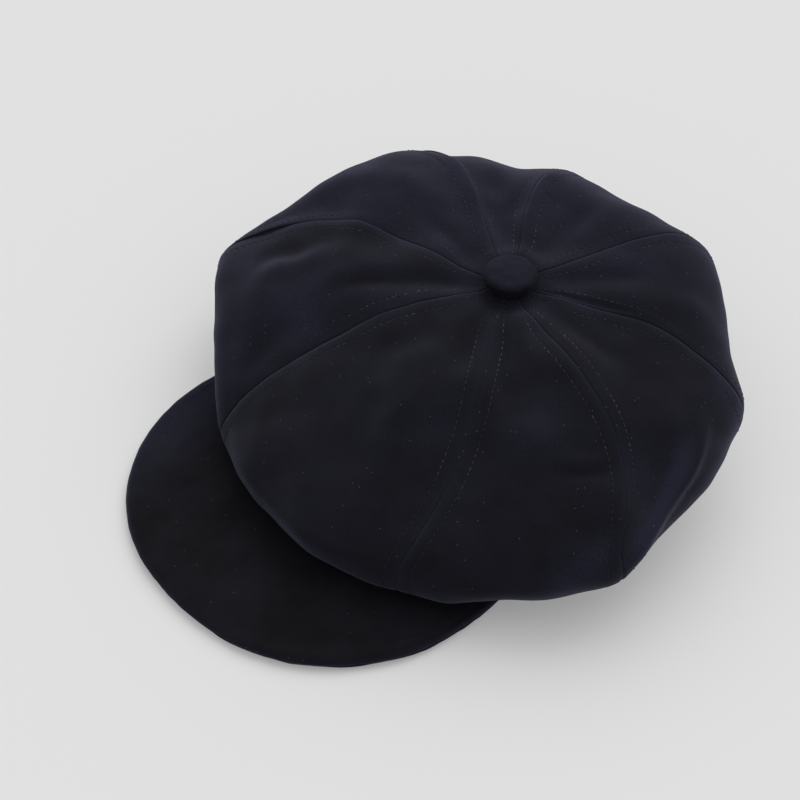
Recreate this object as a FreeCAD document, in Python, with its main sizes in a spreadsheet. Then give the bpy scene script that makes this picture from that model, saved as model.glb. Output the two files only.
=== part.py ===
import FreeCAD, Part
import math
import os
import Sketcher

# Newsboy cap, in millimetres.
# +Z is up, the brim points along -Y and the wearer's left is +X.
# The origin is the centre of the head opening, on the plane that the band's lower edge stands on.

Vector = FreeCAD.Vector
doc = FreeCAD.newDocument("newsboy_cap")
sizes = doc.addObject("Spreadsheet::Sheet", "Sizes")

DRIVING_SIZES = (
    # head opening and the layers of the band, from the head outwards
    ("opening_length", 191),
    ("opening_width", 172),
    ("sweatband_thick", 1.0),
    ("sweatband_tall", 32),
    ("stiffener_thick", 1.0),
    ("stiffener_tall", 27),
    ("layer_gap", 0.3),
    ("cloth_thick", 1.6),
    ("band_tall", 30),
    ("lining_thick", 0.5),
    # crown: eight gores that meet at an apex behind the centre of the opening
    ("apex_setback", 36),
    ("apex_height", 73),
    ("apex_hole_radius", 3),
    ("crown_dome", 6),
    ("shoulder_radius", 19),
    ("crown_ease", 2),
    ("front_seam_angle", 27),
    ("front_seam_reach", 144),
    ("front_seam_height", 19),
    ("fore_side_seam_angle", 66.5),
    ("fore_side_seam_reach", 147),
    ("fore_side_seam_height", 32),
    ("rear_side_seam_angle", 108),
    ("rear_side_seam_reach", 119),
    ("rear_side_seam_height", 47),
    ("back_seam_angle", 154),
    ("back_seam_reach", 92),
    ("back_seam_height", 60),
    ("front_bulge", 18),
    ("fore_side_bulge", 6),
    ("side_bulge", 3),
    ("rear_side_bulge", 3),
    ("back_bulge", 3),
    ("seam_half_gap_angle", 0.06),
    # brim: two cloth covers round a stiff board
    ("brim_reach", 174),
    ("brim_tip_radius", 145),
    ("brim_tip_half_angle", 9),
    ("brim_corner_radius", 91),
    ("brim_side_radius", 245),
    ("brim_end_setout", 29),
    ("brim_end_radius", 10),
    ("brim_lift", 0.8),
    ("brim_cloth_thick", 1.1),
    ("brim_board_thick", 2.2),
    ("brim_edge_wall", 1.4),
    ("brim_play", 0.15),
    ("brim_root_gap", 1.5),
    # covered button on the apex
    ("button_edge_radius", 12.8),
    ("button_rim_radius", 11.9),
    ("button_gather_radius", 9.7),
    ("button_flat_radius", 1.5),
    ("button_tall", 7),
    ("button_dome_tall", 3.5),
    ("button_roll_radius", 2.8),
    ("button_stand_off", 2.6),
    ("button_cloth_thick", 0.9),
    ("button_metal_thick", 0.6),
    ("button_play", 0.1),
    ("shell_radius", 9.5),
    ("shell_dome_tall", 2.1),
    ("button_plate_radius", 9),
    ("button_shank_radius", 1.6),
    ("button_prong_length", 16),
    ("button_prong_width", 3),
)
for row, (alias, value) in enumerate(DRIVING_SIZES, start=1):
    sizes.set("A%d" % row, alias)
    sizes.set("B%d" % row, str(value))
    sizes.setAlias("B%d" % row, alias)
doc.recompute()


def size(alias):
    return float(sizes.get(alias))


# Distances that several pieces share, written as expressions on the sheet.
STIFFENER_GROW = "(Sizes.sweatband_thick + Sizes.layer_gap)"
BAND_GROW = "(%s + Sizes.stiffener_thick + Sizes.layer_gap)" % STIFFENER_GROW
BAND_OUTER_GROW = "(%s + Sizes.cloth_thick)" % BAND_GROW
BUTTON_BASE = "(Sizes.apex_height + Sizes.button_stand_off)"


# ---------------------------------------------------------------- sketch helpers

def new_body(name):
    body = doc.addObject("PartDesign::Body", name)
    body.Label = name
    return body


def new_sketch(body, name, role, lift="0"):
    """A sketch on one of the body's own origin planes, lifted along the plane's normal."""
    plane = next(item for item in body.Origin.OriginFeatures if item.Role == role)
    sketch = body.newObject("Sketcher::SketchObject", name)
    sketch.AttachmentSupport = (plane, [""])
    sketch.MapMode = "FlatFace"
    sketch.setExpression("AttachmentOffset.Base.z", lift)
    return sketch


def number(sketch, expression):
    return float(sketch.evalExpression(expression))


def hold(sketch, constraint, expression):
    """Adds a constraint and binds its value to the sheet."""
    index = sketch.addConstraint(constraint)
    sketch.setExpression("Constraints[%d]" % index, expression)


def add_ellipse(sketch, grow):
    """The head opening's ellipse, made larger all round by the expression `grow`."""
    half_length = number(sketch, "Sizes.opening_length / 2 + " + grow)
    half_width = number(sketch, "Sizes.opening_width / 2 + " + grow)
    curve = Part.Ellipse(Vector(0, half_length, 0), Vector(half_width, 0, 0), Vector(0, 0, 0))
    ring = sketch.addGeometry(curve, False)
    sketch.exposeInternalGeometry(ring)
    long_axis = ring + 1
    short_axis = ring + 2
    sketch.addConstraint(Sketcher.Constraint("Coincident", ring, 3, -1, 1))
    sketch.addConstraint(Sketcher.Constraint("Vertical", long_axis))
    hold(sketch, Sketcher.Constraint("Distance", long_axis, 2 * half_length),
         "Sizes.opening_length + 2 * " + grow)
    hold(sketch, Sketcher.Constraint("Distance", short_axis, 2 * half_width),
         "Sizes.opening_width + 2 * " + grow)


def arc_midpoint(start, end, radius):
    """Middle of the shorter arc from start to end; a positive radius bends to the right."""
    chord = end - start
    half = chord.Length / 2
    rise = abs(radius) - math.sqrt(radius * radius - half * half)
    right = Vector(chord.y, -chord.x, 0).normalize()
    return (start + end) * 0.5 + right * math.copysign(rise, radius)


def add_outline(sketch, corners):
    """A closed outline. Each corner is (x, y) or (x, y, radius of the arc to the next corner)."""
    points = [Vector(number(sketch, c[0]), number(sketch, c[1]), 0) for c in corners]
    edges = []
    for i, corner in enumerate(corners):
        start = points[i]
        end = points[(i + 1) % len(points)]
        if len(corner) == 2:
            edges.append(sketch.addGeometry(Part.LineSegment(start, end), False))
        else:
            middle = arc_midpoint(start, end, number(sketch, corner[2]))
            edges.append(sketch.addGeometry(Part.ArcOfCircle(start, middle, end), False))
    starts = []
    ends = []
    for i, edge in enumerate(edges):
        first_is_start = sketch.getPoint(edge, 1).distanceToPoint(points[i]) < 1e-6
        starts.append(1 if first_is_start else 2)
        ends.append(2 if first_is_start else 1)
    for i, corner in enumerate(corners):
        last = (i - 1) % len(edges)
        sketch.addConstraint(Sketcher.Constraint("Coincident", edges[last], ends[last],
                                                 edges[i], starts[i]))
        hold(sketch, Sketcher.Constraint("DistanceX", -1, 1, edges[i], starts[i], points[i].x),
             corner[0])
        hold(sketch, Sketcher.Constraint("DistanceY", -1, 1, edges[i], starts[i], points[i].y),
             corner[1])
    for i, corner in enumerate(corners):
        if len(corner) == 3:
            radius = abs(number(sketch, corner[2]))
            hold(sketch, Sketcher.Constraint("Radius", edges[i], radius), "abs(%s)" % corner[2])


def add_pad(body, sketch, length):
    pad = body.newObject("PartDesign::Pad", sketch.Name + "_pad")
    pad.Profile = sketch
    pad.setExpression("Length", length)
    return pad


def add_pocket(body, sketch, depth, upwards=False):
    pocket = body.newObject("PartDesign::Pocket", sketch.Name + "_pocket")
    pocket.Profile = sketch
    pocket.setExpression("Length", depth)
    pocket.Reversed = upwards
    return pocket


def add_turning(body, sketch):
    """Turns a profile that is drawn on the XZ plane once round the sketch's upright axis."""
    turning = body.newObject("PartDesign::Revolution", sketch.Name + "_turning")
    turning.Profile = sketch
    turning.ReferenceAxis = (sketch, ["V_Axis"])
    turning.Angle = 360
    return turning


# ---------------------------------------------------------------- band

def make_ring(name, inner_grow, outer_grow, foot, tall):
    body = new_body(name)
    sketch = new_sketch(body, name + "_plan", "XY_Plane", foot)
    add_ellipse(sketch, outer_grow)
    add_ellipse(sketch, inner_grow)
    add_pad(body, sketch, tall)
    return body


def make_band_layers():
    sweatband = make_ring("sweatband", "0", "Sizes.sweatband_thick",
                          "Sizes.layer_gap", "Sizes.sweatband_tall")
    stiffener = make_ring("band_stiffener", STIFFENER_GROW,
                          "(%s + Sizes.stiffener_thick)" % STIFFENER_GROW,
                          "(Sizes.band_tall - Sizes.stiffener_tall) / 2", "Sizes.stiffener_tall")
    headband = make_ring("headband", BAND_GROW, BAND_OUTER_GROW, "0", "Sizes.band_tall")
    return [sweatband, stiffener, headband]


# ---------------------------------------------------------------- brim

def brim_outline(inset):
    """Seven arcs round the free edge, from one end of the root to the other.

    The tip arc is the flattest, and a corner arc meets it on each side. A long side arc runs back
    from the widest point, and a small end arc turns in to the band.
    """
    turn = "Sizes.brim_tip_half_angle"
    tip_centre = "(Sizes.brim_tip_radius - Sizes.brim_reach)"
    centre_gap = "(Sizes.brim_tip_radius - Sizes.brim_corner_radius)"
    tip_radius = "(Sizes.brim_tip_radius - %s)" % inset
    corner_radius = "(Sizes.brim_corner_radius - %s)" % inset
    side_radius = "(Sizes.brim_side_radius - %s)" % inset
    widest_x = "(%s * sin(%s) + %s)" % (centre_gap, turn, corner_radius)
    widest_y = "(%s - %s * cos(%s))" % (tip_centre, centre_gap, turn)
    joint_x = "(%s * sin(%s))" % (tip_radius, turn)
    joint_y = "(%s - %s * cos(%s))" % (tip_centre, tip_radius, turn)
    end_y = "(-Sizes.brim_end_setout)"
    end_drop = "(%s - (%s))" % (end_y, widest_y)
    end_x = "(%s - %s + sqrt(%s ^ 2 - %s ^ 2))" % (widest_x, side_radius, side_radius, end_drop)
    end_radius = "(Sizes.brim_end_radius - %s)" % inset
    root_x = "(%s - %s)" % (end_x, end_radius)
    root_y = "(%s + %s)" % (end_y, end_radius)
    return [
        ("-" + root_x, root_y, end_radius),
        ("-" + end_x, end_y, side_radius),
        ("-" + widest_x, widest_y, corner_radius),
        ("-" + joint_x, joint_y, tip_radius),
        (joint_x, joint_y, corner_radius),
        (widest_x, widest_y, side_radius),
        (end_x, end_y, end_radius),
        (root_x, root_y),
    ]


def cut_brim_root(body, top):
    """Cuts the brim's inner edge to the band's outline, with room for the brim to tilt."""
    sketch = new_sketch(body, body.Name + "_root", "XY_Plane", top)
    add_ellipse(sketch, "(%s + Sizes.brim_root_gap)" % BAND_OUTER_GROW)
    add_pocket(body, sketch, top)


def make_brim_layer(name, foot, thick, inset):
    body = new_body(name)
    outline = new_sketch(body, name + "_outline", "XY_Plane", foot)
    add_outline(outline, brim_outline(inset))
    add_pad(body, outline, thick)
    return body


def make_brim():
    """Two cloth trays, one upside down on the other, with the board between them."""
    half_board = "(Sizes.brim_board_thick / 2 + Sizes.brim_play)"
    half_thick = "(Sizes.brim_cloth_thick + %s)" % half_board
    middle = "(Sizes.brim_lift + %s)" % half_thick
    seam = "Sizes.brim_play / 2"
    top = "(%s + %s)" % (middle, half_thick)

    under = make_brim_layer("brim_under_cover", "Sizes.brim_lift",
                            "%s - %s" % (half_thick, seam), "0")
    hollow = new_sketch(under, "under_hollow", "XY_Plane", "%s - %s" % (middle, seam))
    add_outline(hollow, brim_outline("Sizes.brim_edge_wall"))
    add_pocket(under, hollow, "%s - %s" % (half_board, seam))
    cut_brim_root(under, middle)

    upper = make_brim_layer("brim_top_cover", "%s + %s" % (middle, seam),
                            "%s - %s" % (half_thick, seam), "0")
    hollow = new_sketch(upper, "upper_hollow", "XY_Plane", "%s + %s" % (middle, seam))
    add_outline(hollow, brim_outline("Sizes.brim_edge_wall"))
    add_pocket(upper, hollow, "%s - %s" % (half_board, seam), upwards=True)
    cut_brim_root(upper, top)

    board = make_brim_layer("brim_board", "%s - Sizes.brim_board_thick / 2" % middle,
                            "Sizes.brim_board_thick", "(Sizes.brim_edge_wall + Sizes.brim_play)")
    cut_brim_root(board, top)
    return [upper, board, under]


# ---------------------------------------------------------------- button

def dome_radius(edge, rise):
    """Radius of the arc that leaves the button's flat middle level and drops by `rise` at `edge`."""
    span = "(%s - Sizes.button_flat_radius)" % edge
    return "((%s) ^ 2 + (%s) ^ 2) / (2 * (%s))" % (span, rise, rise)


def make_button_cover():
    """Cloth drawn over the shell and gathered in under its rim."""
    body = new_body("button_cover")
    sketch = new_sketch(body, "cover_profile", "XZ_Plane")
    flat = "Sizes.button_flat_radius"
    cloth = "Sizes.button_cloth_thick"
    top = "(%s + Sizes.button_tall)" % BUTTON_BASE
    shoulder = "(%s - Sizes.button_dome_tall)" % top
    edge = "Sizes.button_edge_radius"
    rise = "Sizes.button_dome_tall"
    inner_edge = "(%s - %s)" % (edge, cloth)
    inner_rise = "(%s - %s)" % (rise, cloth)
    gathered = "Sizes.button_gather_radius"
    floor = "(%s + %s)" % (BUTTON_BASE, cloth)
    add_outline(sketch, [
        ("0", top),
        (flat, top, "-" + dome_radius(edge, rise)),
        (edge, shoulder, "-Sizes.button_roll_radius"),
        ("Sizes.button_rim_radius", BUTTON_BASE),
        (gathered, BUTTON_BASE),
        (gathered, floor),
        ("Sizes.button_rim_radius - " + cloth, floor),
        (inner_edge, shoulder, dome_radius(inner_edge, inner_rise)),
        (flat, "%s - %s" % (top, cloth)),
        ("0", "%s - %s" % (top, cloth)),
    ])
    add_turning(body, sketch)
    return body


def make_button_shell():
    """The pressed metal dome inside the cover."""
    body = new_body("button_shell")
    sketch = new_sketch(body, "shell_profile", "XZ_Plane")
    flat = "Sizes.button_flat_radius"
    metal = "Sizes.button_metal_thick"
    under = "(Sizes.button_cloth_thick + Sizes.button_play)"
    top = "(%s + Sizes.button_tall - %s)" % (BUTTON_BASE, under)
    foot = "(%s + %s)" % (BUTTON_BASE, under)
    edge = "Sizes.shell_radius"
    rise = "Sizes.shell_dome_tall"
    inner_edge = "(%s - %s)" % (edge, metal)
    add_outline(sketch, [
        ("0", top),
        (flat, top, "-" + dome_radius(edge, rise)),
        (edge, "%s - %s" % (top, rise)),
        (edge, foot),
        (inner_edge, foot),
        (inner_edge, "%s - %s - %s" % (top, rise, metal), dome_radius(inner_edge, rise)),
        (flat, "%s - %s" % (top, metal)),
        ("0", "%s - %s" % (top, metal)),
    ])
    add_turning(body, sketch)
    return body


def make_button_back():
    """Back plate, shank through the crown, and two prongs bent flat under the lining."""
    body = new_body("button_back")
    sketch = new_sketch(body, "back_profile", "XZ_Plane")
    metal = "Sizes.button_metal_thick"
    plate_foot = "(%s + Sizes.button_play)" % BUTTON_BASE
    lining_under = "(Sizes.apex_height - Sizes.cloth_thick - Sizes.layer_gap - Sizes.lining_thick)"
    prong_top = "(%s - Sizes.layer_gap)" % lining_under
    add_outline(sketch, [
        ("0", "%s + %s" % (plate_foot, metal)),
        ("Sizes.button_plate_radius", "%s + %s" % (plate_foot, metal)),
        ("Sizes.button_plate_radius", plate_foot),
        ("Sizes.button_shank_radius", plate_foot),
        ("Sizes.button_shank_radius", "%s - %s" % (prong_top, metal)),
        ("0", "%s - %s" % (prong_top, metal)),
    ])
    add_turning(body, sketch)
    prongs = new_sketch(body, "prong_plan", "XY_Plane", "%s - %s" % (prong_top, metal))
    half_length = "Sizes.button_prong_length / 2"
    half_width = "Sizes.button_prong_width / 2"
    add_outline(prongs, [
        ("-" + half_length, "-" + half_width),
        (half_length, "-" + half_width),
        (half_length, half_width),
        ("-" + half_length, half_width),
    ])
    add_pad(body, prongs, metal)
    return body


def make_button():
    pieces = [make_button_cover(), make_button_shell(), make_button_back()]
    for piece in pieces:
        piece.setExpression("Placement.Base.y", "Sizes.apex_setback")
    return pieces


# ---------------------------------------------------------------- crown and lining

# A panel lies between two seams. Each seam is (which pair, side), side +1 is the wearer's left.
PANELS = (
    ("front", ("front", -1), ("front", 1), "front_bulge"),
    ("front_left", ("front", 1), ("fore_side", 1), "fore_side_bulge"),
    ("left", ("fore_side", 1), ("rear_side", 1), "side_bulge"),
    ("back_left", ("rear_side", 1), ("back", 1), "rear_side_bulge"),
    ("back", ("back", 1), ("back", -1), "back_bulge"),
    ("back_right", ("back", -1), ("rear_side", -1), "rear_side_bulge"),
    ("right", ("rear_side", -1), ("fore_side", -1), "side_bulge"),
    ("front_right", ("fore_side", -1), ("front", -1), "fore_side_bulge"),
)


def seam_angle(seam):
    """Direction of a seam round the apex, in degrees from the front, in the range 0 to 360."""
    pair, side = seam
    return (side * size(pair + "_seam_angle")) % 360


def outward(angle):
    turn = math.radians(angle)
    return Vector(math.sin(turn), -math.cos(turn), 0)


def band_distance(angle):
    """Distance from the apex axis to the band's outer face, along a direction."""
    band_grow = number(sizes, BAND_OUTER_GROW)
    half_width = size("opening_width") / 2 + band_grow
    half_length = size("opening_length") / 2 + band_grow
    setback = size("apex_setback")
    way = outward(angle)
    a = (way.x / half_width) ** 2 + (way.y / half_length) ** 2
    b = 2 * setback * way.y / half_length ** 2
    c = (setback / half_length) ** 2 - 1
    return (-b + math.sqrt(b * b - 4 * a * c)) / (2 * a)


# How a rib's control points are spaced, as shares of its reach, of the crown's dome, of the
# shoulder's rounding, of the overhang beyond the band and of the height from band to shoulder.
INNER_TOP_REACH = 0.30
INNER_TOP_DOME = 0.6
OUTER_TOP_REACH = 0.68
BROW_RISE = 0.95
BROW_INSET = 0.5
SHOULDER_OUTSET = 0.25
SHOULDER_RISE = 0.35
UNDERSIDE_OUTSET = 0.12
UNDERSIDE_DROP = 0.5
TUCK_OVERHANG = 0.45
TUCK_RISE = 0.25


def rib_poles(angle, reach, height, depth):
    """Control points of a rib: the crown's outer face in an upright plane, or `depth` inside it.

    Each point is (distance from the apex axis, height). The line runs out from the apex, turns
    over the shoulder and comes back in to the top of the band.
    """
    apex = size("apex_height")
    dome = size("crown_dome")
    rounding = size("shoulder_radius")
    foot = size("band_tall") + size("layer_gap")
    ease = size("crown_ease")
    band = band_distance(angle)
    brow = height + BROW_RISE * rounding
    line = (
        (size("apex_hole_radius"), apex),
        (INNER_TOP_REACH * reach, apex + INNER_TOP_DOME * dome),
        (OUTER_TOP_REACH * reach, apex + OUTER_TOP_REACH * (brow - apex) + dome),
        (reach - BROW_INSET * rounding, brow),
        (reach + SHOULDER_OUTSET * rounding, height + SHOULDER_RISE * rounding),
        (reach + UNDERSIDE_OUTSET * rounding, height - UNDERSIDE_DROP * rounding),
        (band + TUCK_OVERHANG * (reach - band), foot + TUCK_RISE * (height - foot)),
        (band + ease, foot + ease),
        (band, foot),
    )
    moved = []
    for i, (distance, height_here) in enumerate(line):
        before = line[max(i - 1, 0)]
        after = line[min(i + 1, len(line) - 1)]
        along = Vector(after[0] - before[0], after[1] - before[1], 0).normalize()
        moved.append((distance + along.y * depth, height_here - along.x * depth))
    return moved


def stand_up(poles, angle):
    """Puts flat rib points in their upright plane round the apex."""
    axis_foot = Vector(0, size("apex_setback"), 0)
    return [axis_foot + outward(angle) * distance + Vector(0, 0, height)
            for distance, height in poles]


def chord_reach(first_angle, first_reach, last_angle, last_reach, angle):
    """Distance from the apex to the straight line between two seams' ends, along `angle`."""
    first = outward(first_angle) * first_reach
    last = outward(last_angle) * last_reach
    normal = Vector(last.y - first.y, first.x - last.x, 0)
    return first.dot(normal) / outward(angle).dot(normal)


def gore_ribs(first_seam, last_seam, bulge):
    """(angle, reach, height) of a gore's ribs: its first seam, half way and its last seam."""
    first_angle = seam_angle(first_seam)
    last_angle = seam_angle(last_seam)
    if last_angle < first_angle:
        first_angle -= 360
    middle_angle = (first_angle + last_angle) / 2
    first_reach, last_reach = (size(seam[0] + "_seam_reach") for seam in (first_seam, last_seam))
    first_height, last_height = (size(seam[0] + "_seam_height") for seam in (first_seam, last_seam))
    straight = chord_reach(first_angle, first_reach, last_angle, last_reach, middle_angle)
    gap = size("seam_half_gap_angle")
    return (
        (first_angle + gap, first_reach, first_height),
        (middle_angle, straight + size(bulge), (first_height + last_height) / 2),
        (last_angle - gap, last_reach, last_height),
    )


def cloth_surface(ribs, depth):
    """A smooth surface that passes through the three ribs of a gore."""
    first, middle, last = (stand_up(rib_poles(angle, reach, height, depth), angle)
                           for angle, reach, height in ribs)
    # the middle row of a quadratic is pulled out so that the surface itself meets the middle rib
    pulled = [m * 2 - (f + l) * 0.5 for f, m, l in zip(first, middle, last)]
    spans = len(first) - 3
    surface = Part.BSplineSurface()
    surface.buildFromPolesMultsKnots(
        [first, pulled, last],
        [3, 3],
        [4] + [1] * (spans - 1) + [4],
        [0, 1],
        [i / spans for i in range(spans + 1)],
        False, False, 2, 3)
    return surface


def surface_edges(surface):
    """The surface's four edges: two along its seams, then the apex end and the band end."""
    first_rib, last_rib, apex_end, band_end = surface.bounds()
    curves = (
        surface.uIso(first_rib),
        surface.uIso(last_rib),
        surface.vIso(apex_end),
        surface.vIso(band_end),
    )
    return [curve.toShape() for curve in curves]


def make_gore(name, ribs, depth, thick):
    """One cloth gore: a closed solid between an outer and an inner face."""
    outer = cloth_surface(ribs, depth)
    inner = cloth_surface(ribs, depth + thick)
    faces = [outer.toShape(), inner.toShape()]
    for outer_edge, inner_edge in zip(surface_edges(outer), surface_edges(inner)):
        rim = Part.makeLoft([Part.Wire(outer_edge), Part.Wire(inner_edge)], False, True)
        faces.extend(rim.Faces)
    shell = Part.Shell(faces)
    shell.sewShape()
    solid = Part.Solid(shell)
    if solid.Volume < 0:
        solid.reverse()
    gore = doc.addObject("Part::Feature", name)
    gore.Label = name
    gore.Shape = solid
    gore.Placement = FreeCAD.Placement()
    return gore


def make_crown():
    cloth = size("cloth_thick")
    lining_depth = cloth + size("layer_gap")
    panels = []
    linings = []
    for name, first_seam, last_seam, bulge in PANELS:
        ribs = gore_ribs(first_seam, last_seam, bulge)
        panels.append(make_gore(name + "_panel", ribs, 0, cloth))
        linings.append(make_gore(name + "_lining", ribs, lining_depth, size("lining_thick")))
    return panels + linings


# ---------------------------------------------------------------- check and export

def check(piece):
    shape = piece.Shape
    if "Invalid" in piece.State or "Error" in piece.State:
        raise RuntimeError("%s did not compute: %s" % (piece.Label, piece.State))
    if shape.isNull() or not shape.isValid() or shape.Volume <= 0:
        raise RuntimeError("%s has no valid solid" % piece.Label)


PIECES = make_band_layers() + make_brim() + make_button() + make_crown()
doc.recompute()
os.makedirs("parts", exist_ok=True)
for item in doc.Objects:
    if "Invalid" in item.State or "Error" in item.State:
        raise RuntimeError("%s did not compute: %s" % (item.Label, item.State))
for piece in PIECES:
    check(piece)
    piece.Shape.exportStep("parts/%s.step" % piece.Label)
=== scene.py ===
import math

import bpy
import numpy as np
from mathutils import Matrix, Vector


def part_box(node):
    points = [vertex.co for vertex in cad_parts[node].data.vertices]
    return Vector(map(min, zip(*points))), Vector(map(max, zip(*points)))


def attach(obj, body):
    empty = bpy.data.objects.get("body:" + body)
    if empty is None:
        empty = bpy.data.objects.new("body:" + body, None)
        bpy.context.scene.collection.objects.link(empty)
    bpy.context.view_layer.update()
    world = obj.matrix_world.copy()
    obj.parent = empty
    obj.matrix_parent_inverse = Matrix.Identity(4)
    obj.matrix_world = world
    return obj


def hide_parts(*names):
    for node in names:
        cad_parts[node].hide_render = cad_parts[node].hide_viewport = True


# Newsboy cap: eight cloth gores, a covered button, a two-faced brim and a lined band.
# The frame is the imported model's: +Z up, the brim points along -Y, the wearer's left is +X.

MM = 0.001
TINY = 1e-12
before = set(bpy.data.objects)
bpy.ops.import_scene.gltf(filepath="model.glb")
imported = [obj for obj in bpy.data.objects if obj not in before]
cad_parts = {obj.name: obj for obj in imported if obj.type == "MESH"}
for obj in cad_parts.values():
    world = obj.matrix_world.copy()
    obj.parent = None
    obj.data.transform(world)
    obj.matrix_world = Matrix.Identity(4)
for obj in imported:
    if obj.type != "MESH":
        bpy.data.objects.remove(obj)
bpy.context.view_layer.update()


# ---------------- sizes taken from the frame

BAND_LOW, BAND_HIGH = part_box("headband")
SWEAT_LOW, SWEAT_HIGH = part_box("sweatband")
BUTTON_LOW, BUTTON_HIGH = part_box("button_cover")
BRIM_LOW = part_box("brim_under_cover")[0]
BRIM_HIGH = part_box("brim_top_cover")[1]
BUTTON_CENTRE = (BUTTON_LOW + BUTTON_HIGH) / 2
BUTTON_RADIUS = (BUTTON_HIGH.x - BUTTON_LOW.x) / 2
BUTTON_STAND_OFF = 2.6 * MM
APEX = Vector((0, BUTTON_CENTRE.y, BUTTON_LOW.z - BUTTON_STAND_OFF))

CLOTH = 1.5 * MM
LINING_CLOTH = 0.4 * MM
LINING_DEPTH = 0.5 * MM


# ---------------- lines and grids of points

def ramp(low, high, values):
    """Climbs smoothly from 0 at `low` to 1 at `high`."""
    share = np.clip((values - low) / (high - low), 0, 1)
    return share * share * (3 - 2 * share)


def bump_at(middle, width, values):
    """A smooth bell, 1 at `middle`, that falls away over `width`."""
    return np.exp(-((values - middle) / width) ** 2)


SPLINE_DEGREE = 3
SPLINE_END = 1 - 1e-9   # just short of 1, where the last pole's weight would drop to 0


def spline_weights(poles, samples):
    """Weight of each pole of a clamped uniform cubic B-spline, at even steps along it."""
    inner_knots = np.linspace(0, 1, poles - SPLINE_DEGREE + 1)
    knots = np.concatenate([np.zeros(SPLINE_DEGREE), inner_knots, np.ones(SPLINE_DEGREE)])
    at = np.linspace(0, SPLINE_END, samples)[:, None]
    weights = ((knots[:-1] <= at) & (at < knots[1:])).astype(float)
    for order in range(1, SPLINE_DEGREE + 1):
        rise = knots[order:-1] - knots[:-order - 1]
        fall = knots[order + 1:] - knots[1:-order]
        climbing = np.divide(at - knots[:-order - 1], rise, out=np.zeros((samples, len(rise))),
                             where=rise > 0)
        sinking = np.divide(knots[order + 1:] - at, fall, out=np.zeros((samples, len(fall))),
                            where=fall > 0)
        weights = climbing * weights[:, :-1] + sinking * weights[:, 1:]
    return weights


def lengths_along(points):
    """Distance from the first point of each row, measured along the row. Rows are the first axis."""
    steps = np.linalg.norm(np.diff(points, axis=-2), axis=-1)
    return np.concatenate([np.zeros_like(steps[..., :1]), np.cumsum(steps, axis=-1)], axis=-1)


def sample_line(points, distances):
    """Points of one line at the given distances along it."""
    along = lengths_along(points)
    return np.stack([np.interp(distances, along, points[:, axis]) for axis in range(3)], axis=-1)


def grid_normals(points):
    """Unit normals of a grid of points, on the side where rows cross columns."""
    down = np.gradient(points, axis=0)
    across = np.gradient(points, axis=1)
    normals = np.cross(down, across)
    return normals / np.maximum(np.linalg.norm(normals, axis=-1, keepdims=True), TINY)


WAVE_COUNT = 14
WAVE_LENGTHS = (0.7, 1.6)   # shortest and longest, as shares of the spacing


def waves(points, spacing, seed, stretch=(1, 1, 1)):
    """Smooth random hills, about one unit high and `spacing` apart, longer where stretch is small."""
    chance = np.random.default_rng(seed)
    total = np.zeros(points.shape[:-1])
    for _ in range(WAVE_COUNT):
        way = chance.normal(size=3) * np.array(stretch)
        way /= np.linalg.norm(way)
        length = spacing * chance.uniform(*WAVE_LENGTHS)
        total += np.cos(points @ way * (math.tau / length) + chance.uniform(0, math.tau))
    return total / math.sqrt(WAVE_COUNT / 2)


# ---------------- meshes

def grid_faces(rows, columns, first=0):
    """Four-sided faces over a grid of points whose first point has the number `first`."""
    corner = first + np.arange(rows * columns).reshape(rows, columns)
    return np.stack([corner[:-1, :-1], corner[1:, :-1], corner[1:, 1:], corner[:-1, 1:]],
                    axis=-1).reshape(-1, 4)


def rim_faces(rows, columns):
    """Faces that close the edge between an outer grid and the inner grid that follows it."""
    corner = np.arange(rows * columns).reshape(rows, columns)
    edge = np.concatenate([corner[:-1, 0], corner[-1, :-1], corner[:0:-1, -1], corner[0, :0:-1]])
    after = np.roll(edge, -1)
    inner = rows * columns
    return np.stack([edge, edge + inner, after + inner, after], axis=-1)


def make_piece(name, points, faces, material, flat=None, wear_and_painted_light=None):
    """A smooth mesh object. `flat` is each point's place on the uncut cloth, in metres."""
    mesh = bpy.data.meshes.new(name)
    mesh.from_pydata(points.reshape(-1, 3).tolist(), [], [list(map(int, face)) for face in faces])
    mesh.polygons.foreach_set("use_smooth", [True] * len(mesh.polygons))
    if flat is not None:
        corners = np.zeros(len(mesh.loops), dtype=np.int64)
        mesh.loops.foreach_get("vertex_index", corners)
        layer = mesh.uv_layers.new(name="cloth")
        layer.data.foreach_set("uv", flat.reshape(-1, 2)[corners].astype(np.float32).ravel())
    # Per point, how far the colour goes to the cloth's paler colour: real wear, and also painted light
    # and painted shade.
    if wear_and_painted_light is not None:
        attribute = mesh.attributes.new("wear_and_painted_light", "FLOAT", "POINT")
        attribute.data.foreach_set("value", wear_and_painted_light.astype(np.float32).ravel())
    mesh.materials.append(material)
    mesh.validate()
    mesh.update()
    piece = bpy.data.objects.new(name, mesh)
    bpy.context.scene.collection.objects.link(piece)
    return piece


def make_cloth(name, outer, inner, material, wear_and_painted_light=None):
    """Cloth with two faces and a closed edge, from matching grids of points."""
    rows, columns = outer.shape[:2]
    faces = np.concatenate([
        grid_faces(rows, columns),
        grid_faces(rows, columns, rows * columns)[:, ::-1],
        rim_faces(rows, columns),
    ])
    across = lengths_along(outer)
    across = across - across[:, -1:] / 2
    down = np.broadcast_to(lengths_along(outer[:, columns // 2])[:, None], across.shape)
    flat = np.stack([across, down], axis=-1)
    if wear_and_painted_light is None:
        wear_and_painted_light = np.zeros((rows, columns))
    return make_piece(name, np.stack([outer, inner]), faces, material,
                      np.stack([flat, flat]), np.stack([wear_and_painted_light, wear_and_painted_light]))


STITCH_LENGTH = 2.3 * MM
STITCH_GAP = 1.0 * MM
THREAD_RADIUS = 0.24 * MM
STITCH_SINK = 0.35 * MM
THREAD_SIDES = 6
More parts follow.
